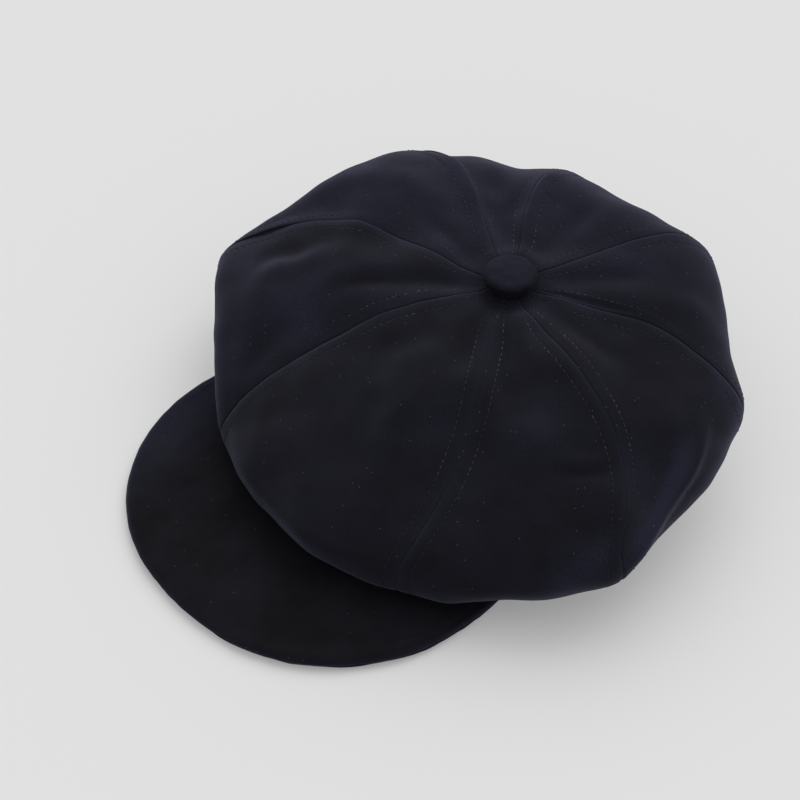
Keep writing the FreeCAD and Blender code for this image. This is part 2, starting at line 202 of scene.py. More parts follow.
# a stitch's rings, as shares of its length, and how far each stands above the cloth
STITCH_RINGS = np.array([0.0, 0.25, 0.75, 1.0])
STITCH_RISE = np.array([-STITCH_SINK, THREAD_RADIUS * 0.4, THREAD_RADIUS * 0.4, -STITCH_SINK])
STITCH_PALENESS = 0.3


def stitch_points(line, normals):
    """One row of stitches along a line on the cloth. Each stitch is four rings of a bent thread."""
    along = lengths_along(line)
    starts = np.arange(STITCH_GAP, along[-1] - STITCH_LENGTH, STITCH_LENGTH + STITCH_GAP)
    distances = (starts[:, None] + STITCH_RINGS * STITCH_LENGTH).ravel()
    middle = sample_line(line, distances).reshape(-1, len(STITCH_RINGS), 3)
    up = np.stack([np.interp(distances, along, normals[:, axis]) for axis in range(3)], axis=-1)
    up = up.reshape(middle.shape)
    up /= np.linalg.norm(up, axis=-1, keepdims=True)
    way = (middle[:, -1:] - middle[:, :1]) / STITCH_LENGTH
    side = np.cross(way, up)
    middle = middle + up * STITCH_RISE[:, None]
    turn = np.linspace(0, math.tau, THREAD_SIDES, endpoint=False)
    ring = side[:, :, None] * np.cos(turn)[:, None] + up[:, :, None] * np.sin(turn)[:, None]
    return middle[:, :, None] + ring * THREAD_RADIUS


def make_stitches(name, rows, paleness=STITCH_PALENESS, dark_from=1.0, dark_at=1.1):
    """All the stitches of several rows, each row a (line, normals) pair, in one object.

    Their paleness fades away between two shares of a row's length, or not at all by default.
    """
    sets = [stitch_points(line, normals) for line, normals in rows]
    points = np.concatenate(sets)
    shares = np.concatenate([np.linspace(0, 1, len(stitches)) for stitches in sets])
    wear_and_painted_light = paleness * (1 - ramp(dark_from, dark_at, shares))
    wear_and_painted_light = np.broadcast_to(wear_and_painted_light[:, None, None], points.shape[:-1])
    rings = np.arange(len(STITCH_RINGS) * THREAD_SIDES).reshape(-1, THREAD_SIDES)
    after = np.roll(rings, -1, axis=1)
    walls = np.stack([rings[:-1], rings[1:], after[1:], after[:-1]], axis=-1).reshape(-1, 4)
    faces = []
    for stitch in range(len(points)):
        first = stitch * rings.size
        faces.extend((walls + first).tolist())
        faces.append((rings[0] + first).tolist())
        faces.append((rings[-1, ::-1] + first).tolist())
    return make_piece(name, points, faces, THREAD, wear_and_painted_light=wear_and_painted_light)


# ---------------- materials

def add_node(tree, kind, inputs=None, **settings):
    """Adds a node. An input is given a value, or linked if it is another node's output."""
    made = tree.nodes.new("ShaderNode" + kind)
    for key, value in settings.items():
        setattr(made, key, value)
    for key, value in (inputs or {}).items():
        if isinstance(value, bpy.types.NodeSocket):
            tree.links.new(value, made.inputs[key])
        else:
            made.inputs[key].default_value = value
    return made


def new_material(name, constants):
    """A material with one Principled shader, whose constants are set on its own sockets."""
    material = bpy.data.materials.new(name)
    material.use_nodes = True
    tree = material.node_tree
    shader = tree.nodes["Principled BSDF"]
    for key, value in constants.items():
        shader.inputs[key].default_value = value
    return material, tree, shader


def calculate(tree, operation, first, second):
    """The result of a sum or comparison of two values."""
    return add_node(tree, "Math", {0: first, 1: second}, operation=operation).outputs[0]


def mix_colours(tree, share, first, second):
    """The first colour where the share is 0, and the second where it is 1."""
    mixed = add_node(tree, "Mix", {0: share, 6: first, 7: second}, data_type="RGBA")
    return mixed.outputs[2]


def remap(tree, value, low, high, to_low=0.0, to_high=1.0):
    """A value moved in proportion from one range to another, and held within it."""
    made = add_node(tree, "MapRange", {"Value": value, "From Min": low, "From Max": high,
                                       "To Min": to_low, "To Max": to_high})
    return made.outputs["Result"]


# A wave texture of scale 1 turns through this many radians in one unit across its bands.
STRAIGHT_BANDS = 20
SLANTED_BANDS = 14


def weave_height(tree, flat, pitch):
    """Over-and-under yarns in both directions, `pitch` apart."""
    turns = math.tau / (STRAIGHT_BANDS * pitch)
    warp = add_node(tree, "TexWave", {"Vector": flat, "Scale": turns, "Distortion": 0.6},
                    bands_direction="X").outputs["Fac"]
    weft = add_node(tree, "TexWave", {"Vector": flat, "Scale": turns, "Distortion": 0.6},
                    bands_direction="Y").outputs["Fac"]
    return calculate(tree, "MAXIMUM", warp, weft)


def twill_height(tree, flat, pitch):
    """Slanting ribs, as in gabardine or grosgrain laid on the bias."""
    ribs = add_node(tree, "TexWave", {"Vector": flat, "Scale": math.tau / (SLANTED_BANDS * pitch),
                                      "Distortion": 1.2, "Detail Scale": 2.0},
                    bands_direction="DIAGONAL")
    return ribs.outputs["Fac"]


# Ranges of a texture's value, each with the range that it is moved to.
DYE_RANGE = (0.38, 0.64, -0.1, 0.9)
FIBRE_RANGE = (0.1, 0.8, -0.15, 0.35)
RUBBED_NAP_RANGE = (0.35, 0.7, 0.25, 1.0)
YARN_SHARE = 0.45   # how much of the height the yarns add to the nap's
LINT_SPACING = 11 * MM
LINT_RANGE = (0.012, 0.028, 1.0, 0.0)
LINT_CHOSEN_ABOVE = 0.62
LINT_COLOUR = (0.30, 0.31, 0.34, 1)


def woven_material(name, dark, light, paler, sheen, sheen_tint, roughness, pitch, depth,
                   height_of=weave_height, lint=0.0):
    """Dyed cloth: woven yarns, a short nap, uneven dye, paler wear with painted light, and a little
    lint.
    """
    material, tree, shader = new_material(name, {
        "Roughness": roughness, "Sheen Weight": sheen, "Sheen Roughness": 0.45,
        "Sheen Tint": sheen_tint, "Specular IOR Level": 0.06})
    flat = add_node(tree, "UVMap", uv_map="cloth").outputs["UV"]
    place = add_node(tree, "TexCoord").outputs["Object"]
    yarns = height_of(tree, flat, pitch)
    nap = add_node(tree, "TexNoise", {"Vector": place, "Scale": 0.9 / pitch, "Detail": 4.0,
                                      "Roughness": 0.65}).outputs["Fac"]
    dye = add_node(tree, "TexNoise", {"Vector": place, "Scale": 26.0, "Detail": 5.0,
                                      "Roughness": 0.6}).outputs["Fac"]
    fibres = calculate(tree, "MULTIPLY", yarns, nap)
    shade = calculate(tree, "ADD", remap(tree, dye, *DYE_RANGE), remap(tree, fibres, *FIBRE_RANGE))
    colour = mix_colours(tree, shade, dark, light)
    # Mixes in the paler colour by the points' wear and painted light: real wear, and painted light and
    # painted shade.
    wear_and_painted_light = add_node(tree, "Attribute", attribute_name="wear_and_painted_light").outputs["Fac"]
    paler_share = calculate(tree, "MULTIPLY", wear_and_painted_light, remap(tree, nap, *RUBBED_NAP_RANGE))
    colour = mix_colours(tree, paler_share, colour, paler)
    if lint:
        specks = add_node(tree, "TexVoronoi", {"Vector": flat, "Scale": 1 / LINT_SPACING},
                          voronoi_dimensions="2D")
        close = remap(tree, specks.outputs["Distance"], *LINT_RANGE)
        chosen = calculate(tree, "GREATER_THAN", specks.outputs["Color"], LINT_CHOSEN_ABOVE)
        strength = calculate(tree, "MULTIPLY", chosen, lint)
        colour = mix_colours(tree, calculate(tree, "MULTIPLY", close, strength), colour, LINT_COLOUR)
    tree.links.new(colour, shader.inputs["Base Color"])
    height = calculate(tree, "ADD", calculate(tree, "MULTIPLY", yarns, YARN_SHARE), nap)
    bump = add_node(tree, "Bump", {"Height": height, "Strength": 0.8, "Distance": depth})
    tree.links.new(bump.outputs["Normal"], shader.inputs["Normal"])
    return material


GRAIN_TO_COLOUR = (0.3, 0.7)
GRAIN_TO_ROUGHNESS = (0.2, 0.8)
ROUGHNESS_SPREAD = 0.08


def grained_material(name, dark, light, roughness, metallic, scale, depth):
    """A hard or felted surface with a fine uneven grain."""
    material, tree, shader = new_material(name, {"Metallic": metallic})
    place = add_node(tree, "TexCoord").outputs["Object"]
    grain = add_node(tree, "TexNoise", {"Vector": place, "Scale": scale, "Detail": 5.0}).outputs["Fac"]
    colour = mix_colours(tree, remap(tree, grain, *GRAIN_TO_COLOUR), dark, light)
    tree.links.new(colour, shader.inputs["Base Color"])
    uneven = remap(tree, grain, *GRAIN_TO_ROUGHNESS,
                   roughness - ROUGHNESS_SPREAD, roughness + ROUGHNESS_SPREAD)
    tree.links.new(uneven, shader.inputs["Roughness"])
    bump = add_node(tree, "Bump", {"Height": grain, "Strength": 0.5, "Distance": depth})
    tree.links.new(bump.outputs["Normal"], shader.inputs["Normal"])
    return material


DARK_THREAD = (0.0062, 0.0062, 0.009, 1)
PALE_THREAD = (0.13, 0.13, 0.155, 1)
PALE_STRETCHES = (0.34, 0.60)
PALE_SINGLES = (0.40, 0.66)


def thread_material():
    """Sewing thread, pale in some stretches and as dark as the cloth in others."""
    material, tree, shader = new_material("navy_thread", {"Roughness": 0.55,
                                                          "Specular IOR Level": 0.3})
    place = add_node(tree, "TexCoord").outputs["Object"]
    stretch = add_node(tree, "TexNoise", {"Vector": place, "Scale": 22.0, "Detail": 2.0})
    single = add_node(tree, "TexNoise", {"Vector": place, "Scale": 420.0, "Detail": 1.0})
    paleness = add_node(tree, "Attribute", attribute_name="wear_and_painted_light").outputs["Fac"]
    paler = calculate(tree, "MULTIPLY", remap(tree, stretch.outputs["Fac"], *PALE_STRETCHES),
                     remap(tree, single.outputs["Fac"], *PALE_SINGLES))
    paler = calculate(tree, "MULTIPLY", paler, paleness)
    colour = mix_colours(tree, paler, DARK_THREAD, PALE_THREAD)
    tree.links.new(colour, shader.inputs["Base Color"])
    return material


# The paler colour is that of worn cloth and also of painted light: the bluer tone of the cloth where
# light falls on it.
NAVY = {
    "dark": (0.0040, 0.0040, 0.0042, 1), "light": (0.0080, 0.0081, 0.0108, 1),
    "paler": (0.0205, 0.0210, 0.039, 1), "sheen_tint": (0.68, 0.71, 1.0, 1), "roughness": 0.85,
    "pitch": 0.55 * MM, "depth": 0.16 * MM,
}
NAVY_CLOTH = woven_material("navy_brushed_cotton", sheen=0.19, lint=0.3, **NAVY)
BUTTON_TWILL = woven_material("button_brushed_cotton", sheen=0.06, **NAVY)
LINING = woven_material(
    "lining_satin", dark=(0.008, 0.008, 0.010, 1), light=(0.020, 0.020, 0.026, 1),
    paler=(0.04, 0.04, 0.05, 1), sheen=0.1, sheen_tint=(0.8, 0.85, 1.0, 1), roughness=0.42,
    pitch=0.3 * MM, depth=0.04 * MM, height_of=twill_height)
SWEATBAND_CLOTH = woven_material(
    "sweatband_twill", dark=(0.010, 0.010, 0.012, 1), light=(0.026, 0.026, 0.032, 1),
    paler=(0.05, 0.05, 0.055, 1), sheen=0.15, sheen_tint=(0.8, 0.85, 1.0, 1), roughness=0.7,
    pitch=0.9 * MM, depth=0.2 * MM, height_of=twill_height)
THREAD = thread_material()
FELT = grained_material("stiffener_felt", (0.10, 0.10, 0.09, 1), (0.20, 0.19, 0.17, 1),
                        roughness=0.9, metallic=0.0, scale=900.0, depth=0.2 * MM)
BOARD_PLASTIC = grained_material("board_plastic", (0.55, 0.55, 0.52, 1), (0.70, 0.70, 0.67, 1),
                                 roughness=0.4, metallic=0.0, scale=300.0, depth=0.05 * MM)
STEEL = grained_material("button_steel", (0.45, 0.45, 0.46, 1), (0.62, 0.62, 0.63, 1),
                         roughness=0.35, metallic=1.0, scale=700.0, depth=0.02 * MM)


# ---------------- crown

# Eight seams run out from the button. Going round from the wearer's right of the back:
# direction from the front in degrees, reach from the apex, height of its shoulder, and how far
# it sways sideways on its way out, in degrees.
SEAMS = {
    "back_right": (-154, 87 * MM, 61 * MM, 10),
    "rear_right": (-108, 118.5 * MM, 50 * MM, -9),
    "fore_right": (-61, 149.5 * MM, 35 * MM, -12.5),
    "front_right": (-23.5, 144 * MM, 17.5 * MM, -4.5),
    "front_left": (27.5, 150 * MM, 19.5 * MM, 7),
    "fore_left": (66.5, 150.5 * MM, 34 * MM, 11),
    "rear_left": (108, 122.5 * MM, 47 * MM, 7.5),
    "back_left": (154, 100.5 * MM, 62.5 * MM, 4),
}
# Each panel hangs between two seams: how far its middle bulges past the straight line between
# them, and how far its middle shoulder stands above them.
PANELS = {
    "back_right": ("back_right", "rear_right", 3 * MM, -2.5 * MM),
    "right": ("rear_right", "fore_right", 0.5 * MM, 12 * MM),
    "front_right": ("fore_right", "front_right", 2.5 * MM, 8.5 * MM),
    "front": ("front_right", "front_left", 15 * MM, 1 * MM),
    "front_left": ("front_left", "fore_left", 7 * MM, -4.5 * MM),
    "left": ("fore_left", "rear_left", 7.5 * MM, 1 * MM),
    "back_left": ("rear_left", "back_left", 1 * MM, 3 * MM),
    "back": ("back_left", "back_right", 1.5 * MM, 0 * MM),
}
SHOULDER_RADIUS = 20 * MM
CROWN_DOME = 6.5 * MM
APEX_HOLE = 3 * MM
RIB_SAMPLES = 121
GORE_SAMPLES = 81
TOPSTITCH_OFFSET = 6.6 * MM
# columns of a gore, as distances in from each seam; the rest are spread evenly between
NEAR_SEAM = np.array([0, 0.35, 0.8, 1.4, 2.4, 4.2, 5.7, 6.25, 6.6, 6.95, 7.6, 8.8, 11]) * MM
STITCH_COLUMN = int(np.argmin(abs(NEAR_SEAM - TOPSTITCH_OFFSET)))
MIDDLE_COLUMNS = 26
# where a gore is narrower than this, its columns near the seams are squeezed together
ROOMY_WIDTH = 2.6 * NEAR_SEAM[-1]


def outward(degrees):
    """The level direction that is turned this far from the front, towards the wearer's left."""
    turn = np.radians(degrees)
    return np.stack([np.sin(turn), -np.cos(turn), np.zeros_like(turn)], axis=-1)


def band_distance(degrees):
    """Distance from the apex axis to the headband's outer face."""
    way = outward(degrees)
    a = (way[0] / BAND_HIGH.x) ** 2 + (way[1] / BAND_HIGH.y) ** 2
    b = 2 * APEX.y * way[1] / BAND_HIGH.y ** 2
    c = (APEX.y / BAND_HIGH.y) ** 2 - 1
    return (-b + math.sqrt(b * b - 4 * a * c)) / (2 * a)


def rib(degrees, reach, height, sway):
    """Points of one rib, from the apex over the shoulder and back in to the band."""
    foot = BAND_HIGH.z
    band = band_distance(degrees)
    over = reach - band
    brow = height + 0.9 * SHOULDER_RADIUS
    poles = np.array([
        (APEX_HOLE, APEX.z),   # under the button
        (0.30 * reach, APEX.z + 0.6 * CROWN_DOME),   # over the domed top
        (0.68 * reach, 0.68 * brow + 0.32 * APEX.z + CROWN_DOME),
        (reach - 0.5 * SHOULDER_RADIUS, brow + 1 * MM),   # round the shoulder
        (reach + 0.25 * SHOULDER_RADIUS, height + 0.35 * SHOULDER_RADIUS),
        (reach + 0.12 * SHOULDER_RADIUS, height - 0.6 * SHOULDER_RADIUS),
        (band + 0.45 * over, 0.75 * foot + 0.25 * height),   # back in under the overhang
        (band + 1.5 * MM, foot + 1 * MM),   # sewn to the band's top edge
        (band - 0.5 * MM, foot - 1 * MM),
    ])
    distance, rise = (spline_weights(len(poles), RIB_SAMPLES) @ poles).T
    on_top = np.arange(RIB_SAMPLES) < np.argmax(distance)
    turned = degrees + np.where(on_top, sway * np.sin(math.pi * np.clip(distance / reach, 0, 1)), 0)
    points = outward(turned) * distance[:, None]
    points[:, 1] += APEX.y
    points[:, 2] = rise
    return points


def middle_rib(first, last, bulge, lift):
    """The rib half way between two seams."""
    first_turn, first_reach, first_height, first_sway = first
    last_turn, last_reach, last_height, last_sway = last
    if last_turn < first_turn:
        last_turn += 360
    degrees = (first_turn + last_turn) / 2
    start = outward(first_turn) * first_reach
    chord = outward(last_turn) * last_reach - start
    normal = np.array([chord[1], -chord[0], 0])
    straight = (start @ normal) / (outward(degrees) @ normal)
    return rib(degrees, straight + bulge, (first_height + last_height) / 2 + lift,
               (first_sway + last_sway) / 2)


def gore_columns(width):
    """Distances of a gore's columns from its first seam, at a place where it is `width` wide."""
    squeeze = min(1.0, width / ROOMY_WIDTH)
    near = NEAR_SEAM * squeeze
    middle = np.linspace(near[-1], width - near[-1], MIDDLE_COLUMNS + 2)[1:-1]
    return np.concatenate([near, middle, width - near[::-1]])


def smooth_gore(name):
    """The gore's surface before any seam or fold: a grid of points, rows from apex to band."""
    first_name, last_name, bulge, lift = PANELS[name]
    first = rib(*SEAMS[first_name])
    last = rib(*SEAMS[last_name])
    middle = middle_rib(SEAMS[first_name], SEAMS[last_name], bulge, lift)
    share = np.linspace(0, 1, GORE_SAMPLES)[None, :, None]
    surface = (first[:, None] * (1 - share) * (1 - 2 * share)
               + middle[:, None] * 4 * share * (1 - share)
               + last[:, None] * share * (2 * share - 1))
    rows = []
    for row in surface:
        rows.append(sample_line(row, gore_columns(lengths_along(row)[-1])))
    return np.array(rows)


def seam_distances(points):
    """Each point's distance to the nearer seam, stretched where the gore's columns are squeezed."""
    across = lengths_along(points)
    width = across[:, -1:]
    squeeze = np.minimum(1.0, width / ROOMY_WIDTH)
    return np.minimum(across, width - across) / squeeze


SEAM_GROOVE = 0.32 * MM
SEAM_GROOVE_WIDTH = 0.5 * MM
ALLOWANCE_HEIGHT = 0.10 * MM
ALLOWANCE_RISES = (0.4 * MM, 1.8 * MM)
ALLOWANCE_ENDS = (6.6 * MM, 8.2 * MM)
STITCH_DENT = 0.14 * MM
STITCH_DENT_WIDTH = 0.55 * MM
PILLOW_HEIGHT = 0.6 * MM
PILLOW_REACH = 16 * MM


def seam_relief(points):
    """Cloth pulled down into the seams, raised over the seam allowance, dented by the stitches."""
    away = seam_distances(points)
    groove = -SEAM_GROOVE * bump_at(0, SEAM_GROOVE_WIDTH, away)
    allowance = ALLOWANCE_HEIGHT * ramp(*ALLOWANCE_RISES, away) * (1 - ramp(*ALLOWANCE_ENDS, away))
    stitch_dent = -STITCH_DENT * bump_at(TOPSTITCH_OFFSET, STITCH_DENT_WIDTH, away)
    pillow = PILLOW_HEIGHT * (1 - np.exp(-away / PILLOW_REACH))
    return groove + allowance + stitch_dent + pillow


# Folds and dents that handling has left in the cloth. For each gore: where the fold starts and
# ends, as shares of the gore's width and of its length from the apex, its half width and height.
FOLDS = {
    "back_right": [
        ((0.50, 0.08), (0.50, 0.50), 10 * MM, -3.5 * MM),
        ((1.00, 0.15), (1.00, 0.58), 5.5 * MM, 3.0 * MM),
        ((0.00, 0.20), (0.00, 0.52), 5 * MM, 2.0 * MM),
    ],
    "right": [
        ((0.00, 0.15), (0.00, 0.58), 5.5 * MM, 3.0 * MM),
        ((0.55, 0.06), (0.60, 0.30), 6 * MM, -1.6 * MM),
        ((0.30, 0.30), (0.45, 0.62), 12 * MM, 1.4 * MM),
        ((1.00, 0.32), (1.00, 0.62), 9 * MM, 3.4 * MM),
    ],
    "front_right": [
        ((0.00, 0.32), (0.00, 0.62), 9 * MM, 3.4 * MM),
        ((0.22, 0.64), (0.30, 0.50), 7 * MM, -2.6 * MM),
        ((0.55, 0.05), (0.60, 0.44), 6 * MM, -3.2 * MM),
        ((0.20, 0.34), (0.40, 0.66), 8 * MM, 1.6 * MM),
        ((0.80, 0.52), (0.86, 0.68), 7 * MM, -1.8 * MM),
    ],
    "front": [
        ((0.80, 0.06), (0.82, 0.30), 5 * MM, -2.4 * MM),
        ((0.42, 0.20), (0.30, 0.38), 8 * MM, -1.8 * MM),
        ((0.50, 0.43), (0.52, 0.54), 8 * MM, -1.6 * MM),
        ((0.66, 0.36), (0.64, 0.56), 7 * MM, 1.2 * MM),
        ((0.15, 0.80), (0.88, 0.81), 5 * MM, 1.4 * MM),
    ],
    "front_left": [
        ((0.30, 0.07), (0.22, 0.32), 4.5 * MM, -2.6 * MM),
        ((0.68, 0.06), (0.62, 0.26), 4.5 * MM, 1.2 * MM),
        ((0.62, 0.50), (0.92, 0.54), 1.8 * MM, -0.9 * MM),
        ((0.60, 0.47), (0.94, 0.51), 2.6 * MM, 0.9 * MM),
        ((0.35, 0.36), (0.50, 0.44), 10 * MM, 1.2 * MM),
        ((0.10, 0.76), (0.90, 0.76), 5 * MM, 1.2 * MM),
    ],
    "left": [
        ((0.02, 0.72), (0.66, 0.62), 4.0 * MM, 2.8 * MM),
        ((0.10, 0.64), (0.62, 0.56), 6.0 * MM, -1.8 * MM),
        ((0.50, 0.06), (0.46, 0.34), 6 * MM, -1.5 * MM),
    ],
    "back_left": [
        ((0.14, 0.08), (0.08, 0.30), 1.3 * MM, -1.3 * MM),
        ((0.55, 0.06), (0.55, 0.40), 7 * MM, -2.2 * MM),
        ((0.20, 0.30), (0.45, 0.58), 9 * MM, 1.4 * MM),
    ],
    "back": [
        ((0.50, 0.10), (0.52, 0.46), 7 * MM, -2.0 * MM),
        ((1.00, 0.20), (1.00, 0.52), 5 * MM, 2.0 * MM),
    ],
}

# Painted light and painted shade: patches painted paler or darker where the cloth's shape should catch
# more or less light. They are written as folds are, with how much is added to the wear and painted
# light in place of the height.
PAINTED_LIGHT_AND_SHADE = {
    "back_right": [
        ((0.37, 0.36), (0.60, 0.40), 8 * MM, 0.70),
    ],
    "right": [
        ((0.92, 0.58), (0.55, 0.42), 14 * MM, 0.40),
        ((0.03, 0.36), (0.03, 0.52), 6 * MM, 0.50),
        ((0.35, 0.55), (0.22, 0.50), 8 * MM, -0.35),
    ],
    "front_right": [
        ((0.20, 0.30), (0.15, 0.66), 12 * MM, -0.60),
        ((0.25, 0.12), (0.20, 0.36), 7 * MM, -0.45),
        ((0.60, 0.45), (0.72, 0.15), 4 * MM, -0.60),
        ((0.50, 0.52), (0.92, 0.52), 14 * MM, 0.65),
        ((0.72, 0.68), (0.80, 0.88), 20 * MM, 0.55),
    ],
    "front": [
        ((0.08, 0.45), (0.12, 0.85), 12 * MM, -0.34),
        ((0.15, 0.15), (0.12, 0.45), 10 * MM, -0.30),
        ((0.50, 0.10), (0.60, 0.25), 8 * MM, -0.30),
        ((0.10, 0.84), (0.50, 0.84), 8 * MM, -0.30),
        ((0.80, 0.34), (0.83, 0.50), 13 * MM, 0.30),
        ((0.75, 0.53), (0.55, 0.53), 14 * MM, 0.15),
    ],
    "front_left": [
        ((0.50, 0.44), (0.62, 0.28), 12 * MM, 0.35),
        ((0.24, 0.43), (0.90, 0.44), 14 * MM, 0.20),
        ((0.66, 0.78), (0.98, 0.70), 10 * MM, 0.80),
    ],
    "left": [
        ((0.20, 0.14), (0.36, 0.30), 8 * MM, -0.35),
        ((0.56, 0.58), (0.04, 0.72), 7.5 * MM, 1.50),
        ((0.10, 0.60), (0.10, 0.42), 14 * MM, 0.25),
        ((0.95, 0.56), (0.99, 0.76), 8 * MM, 0.80),
    ],
    "back_left": [
        ((0.80, 0.28), (0.72, 0.46), 9 * MM, 0.35),
    ],
    "back": [
        ((0.94, 0.46), (0.98, 0.34), 6 * MM, 0.60),
    ],
}
# A mark dies away over these shares of its length, before and after its start and its end.
MARK_START = (-0.15, 0.3)
MARK_END = (0.7, 1.15)


def laid_marks(points, marks):
    """Strength of a gore's folds, or of its patches of painted light and shade: each dies away at its
    ends and to its sides.
    """
    across = lengths_along(points)
    width = across[:, -1]
    down = lengths_along(points.transpose(1, 0, 2)).T.mean(axis=1)
    flat = np.stack([across - width[:, None] / 2, np.broadcast_to(down[:, None], across.shape)],
                    axis=-1)
    strength = np.zeros(across.shape)
    for start, end, half_width, most in marks:
        ends = []
        for share_across, share_down in (start, end):
            here = share_down * down[-1]
            ends.append(np.array([(share_across - 0.5) * np.interp(here, down, width), here]))
        way = ends[1] - ends[0]
        length = np.linalg.norm(way)
        way /= length
        from_start = flat - ends[0]
        along = from_start @ way / length
        aside = from_start @ np.array([way[1], -way[0]])
        taper = ramp(*MARK_START, along) * (1 - ramp(*MARK_END, along))
        strength += most * taper * bump_at(0, half_width, aside)
    return strength


BROAD_SLACK = 0.9 * MM
FINE_SLACK = 0.22 * MM
# The cloth's shape close to the button: how high or deep, and at what distance and how widely.
DIMPLE_DEPTH = 2.8 * MM
DIMPLE_AT = (17 * MM, 5 * MM)
UNDERCUT_DEPTH = 2.6 * MM
UNDERCUT_AT = (11.5 * MM, 2.6 * MM)
COLLAR_HEIGHT = 2.1 * MM
COLLAR_AT = (5 * MM, 5 * MM)
# the direction from the front, in degrees, in which the cloth dips beside the button
DIPS_TOWARDS = 48.0
# the easing folds just above the band, and the shares of the way to the band where they begin
EASING_HEIGHT = 0.8 * MM
EASING_FOLDS = 46
EASING_STARTS = 0.86
EASING_FULL = 0.99


def crown_relief(points, down):
    """Soft unevenness, cloth bunched up under the button, and easing folds above the band."""
    slack = (BROAD_SLACK * waves(points, 48 * MM, seed=11)
             + FINE_SLACK * waves(points, 17 * MM, seed=12))
    from_button = points[..., :2] - np.array([BUTTON_CENTRE.x, BUTTON_CENTRE.y])
    distance = np.linalg.norm(from_button, axis=-1)
    facing = from_button @ outward(DIPS_TOWARDS)[:2] / np.maximum(distance, TINY)
    dimple = -DIMPLE_DEPTH * bump_at(*DIMPLE_AT, distance) * facing
    undercut = -UNDERCUT_DEPTH * bump_at(*UNDERCUT_AT, distance) * np.maximum(facing, 0)
    collar = COLLAR_HEIGHT * bump_at(*COLLAR_AT, distance)
    near_band = ramp(EASING_STARTS, EASING_FULL, down)
    turn = np.arctan2(points[..., 0], -points[..., 1])
    uneven_turn = EASING_FOLDS * turn + 1.5 * waves(points, 60 * MM, seed=13)
    easing = EASING_HEIGHT * np.sin(uneven_turn) * near_band
    return slack * (1 - near_band) + easing + dimple + undercut + collar


gores = {}
for gore_name in PANELS:
    gore_smooth = smooth_gore(gore_name)
    gore_down = lengths_along(gore_smooth.transpose(1, 0, 2)).T
    gore_down = gore_down / gore_down[-1:]
    gore_normals = grid_normals(gore_smooth)
    relief = (seam_relief(gore_smooth) + crown_relief(gore_smooth, gore_down)
              + laid_marks(gore_smooth, FOLDS[gore_name]))
    gores[gore_name] = {
        "smooth": gore_smooth,
        "outer": gore_smooth + gore_normals * relief[..., None],
        "inner": gore_smooth + gore_normals * (relief - CLOTH)[..., None],
    }


def join_seams(layer):
    """Makes neighbouring gores share the points of the seam between them."""
    names = list(PANELS)
    for name, following in zip(names, names[1:] + names[:1]):
        shared = (gores[name][layer][:, -1] + gores[following][layer][:, 0]) / 2
        gores[name][layer][:, -1] = shared
        gores[following][layer][:, 0] = shared


for crown_layer in ("outer", "inner"):
    join_seams(crown_layer)


# Painted light on the crown: an even share over all of it, and more towards the back right, the side
# away from the camera where the light falls.
PAINTED_LIGHT_SIDE = np.array([-0.75, 0.66, 0])
PAINTED_LIGHT_STARTS = -40 * MM
PAINTED_LIGHT_FULL = 95 * MM
EVEN_PAINTED_LIGHT = 0.34
LIT_SIDE_PAINTED_LIGHT = 0.60
SEAM_WEAR = 0.20
SEAM_WEAR_AT = (1.4 * MM, 1.0 * MM)


def crown_wear_and_painted_light(points):
    """Painted light over the whole crown, strongest at the back right where light falls, and wear
    along the seams.
    """
    painted_light_share = ramp(PAINTED_LIGHT_STARTS, PAINTED_LIGHT_FULL, points @ PAINTED_LIGHT_SIDE)
    paler_share = bump_at(*SEAM_WEAR_AT, seam_distances(points))
    return EVEN_PAINTED_LIGHT + LIT_SIDE_PAINTED_LIGHT * painted_light_share + SEAM_WEAR * paler_share


for gore_name, gore in gores.items():
    # Wear along the seams, with painted light and painted shade over the gore.
    gore_wear_and_painted_light = crown_wear_and_painted_light(gore["smooth"]) + laid_marks(gore["smooth"], PAINTED_LIGHT_AND_SHADE[gore_name])
    gore_piece = make_cloth(gore_name + "_gore", gore["outer"], gore["inner"], NAVY_CLOTH, gore_wear_and_painted_light)
    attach(gore_piece, "cap")
    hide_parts(gore_name + "_panel")


# seams whose thread is paler than usual, and the shares of a seam's length between which that paleness
# fades away
PALE_STITCHES = {"front_left": 1.0, "fore_left": 0.9, "front_right": 0.6, "back_right": 0.6}
STITCHES_DARKEN = 0.42
STITCHES_DARK = 0.62


def make_seam_stitches(seam_name):
    """The two rows of topstitching beside a seam."""
    rows = []
    for name, (first, last, _, _) in PANELS.items():
        outer = gores[name]["outer"]
        normals = grid_normals(outer)
        if first == seam_name:
            rows.append((outer[:, STITCH_COLUMN], normals[:, STITCH_COLUMN]))
        if last == seam_name:
            rows.append((outer[:, -1 - STITCH_COLUMN], normals[:, -1 - STITCH_COLUMN]))
    paleness = PALE_STITCHES.get(seam_name, STITCH_PALENESS)
    stitches = make_stitches(seam_name + "_seam_stitches", rows, paleness,
                             STITCHES_DARKEN, STITCHES_DARK)
    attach(stitches, "cap")


for stitched_seam in SEAMS:
    make_seam_stitches(stitched_seam)


# ---------------- lining of the crown

LINING_ROW_STEP = 2
LINING_COLUMN_STEP = 3
LINING_SLACK = 0.8 * MM
LINING_SEAM = 0.5 * MM


